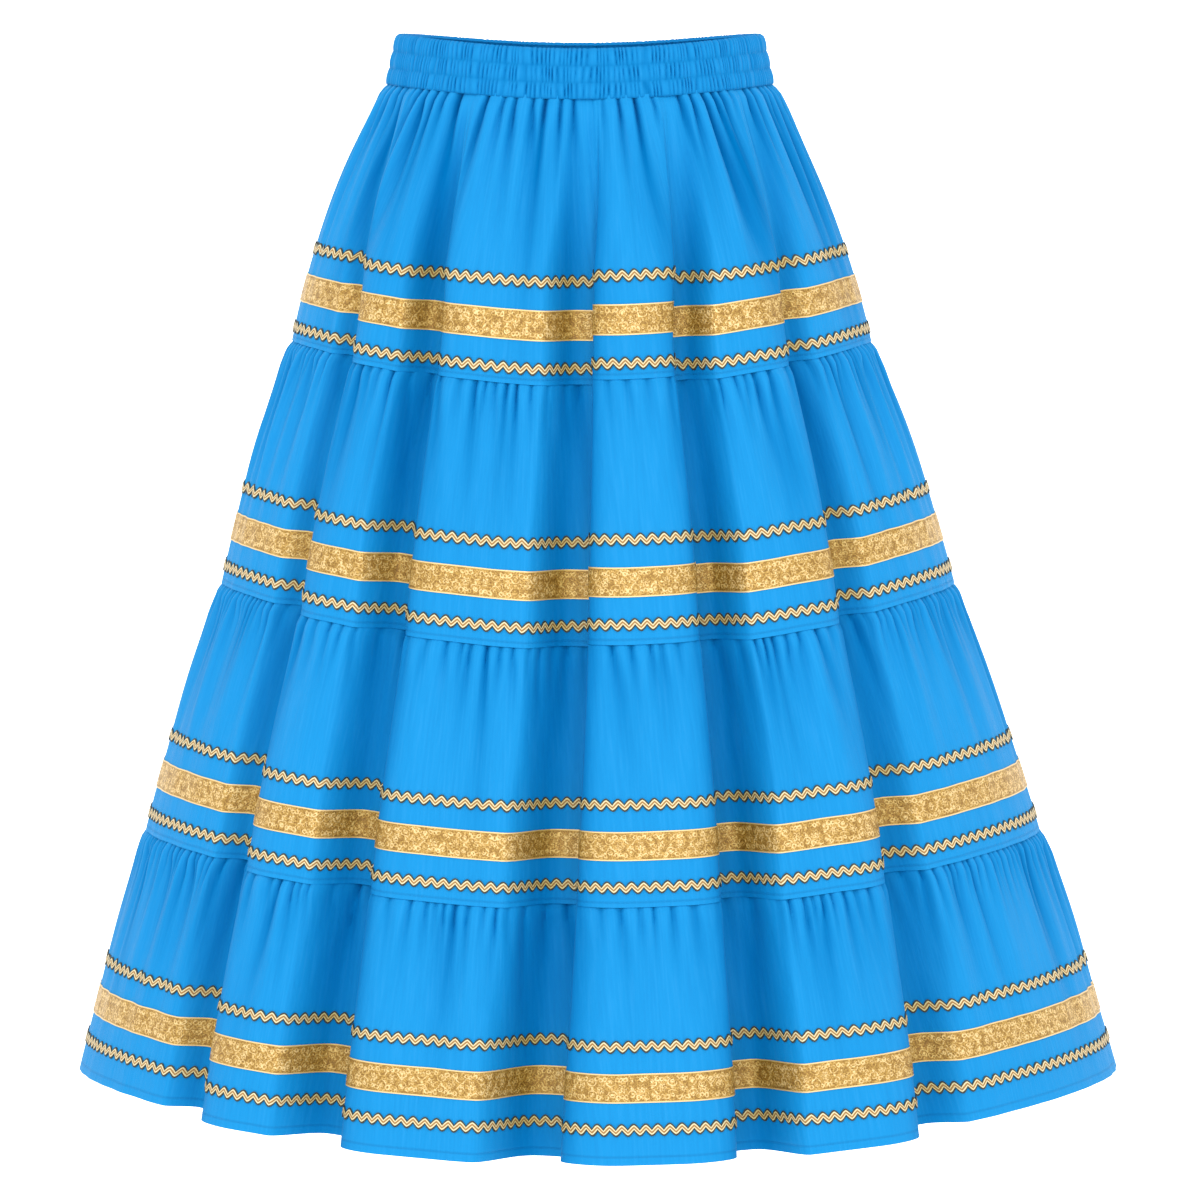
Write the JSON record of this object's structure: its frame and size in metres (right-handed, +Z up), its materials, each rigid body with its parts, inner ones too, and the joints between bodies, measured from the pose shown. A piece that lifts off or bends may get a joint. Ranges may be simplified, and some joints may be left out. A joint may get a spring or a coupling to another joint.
{
  "type": "prairie skirt",
  "caption": "Long full skirt with an elastic waistband and gathered tiers, each trimmed with a gold brocade ribbon between rickrack braids. Open at waist and hem, it hangs from the waist.",
  "frame": {"origin": "middle of the waistband's height, on the axis of the wearer's waist, which holds the skirt up", "axes": "+Z up out of the waist, -Y towards the skirt's front, +X towards the right of its front as seen"},
  "size_m": [0.781, 0.5668, 0.808],
  "materials": {
    "cloth": "bright azure plain-woven cotton blend with a soft sheen",
    "ribbon": "gold metallic jacquard ribbon with plain selvedges",
    "braid": "gold rickrack braid"
  },
  "bodies": {
    "root": {"waistband": "cloth", "tier_1_front": "cloth", "tier_1_back": "cloth", "tier_1_braid_upper": "braid", "tier_1_ribbon": "ribbon", "tier_1_braid_lower": "braid", "tier_2_front": "cloth", "tier_2_back": "cloth", "tier_2_braid_upper": "braid", "tier_2_ribbon": "ribbon", "tier_2_braid_lower": "braid", "tier_3_front": "cloth", "tier_3_back": "cloth", "tier_3_braid_upper": "braid", "tier_3_ribbon": "ribbon", "tier_3_braid_lower": "braid", "tier_4_front": "cloth", "tier_4_back": "cloth", "tier_4_braid_upper": "braid", "tier_4_ribbon": "ribbon", "tier_4_braid_lower": "braid"}
  },
  "joints": []
}
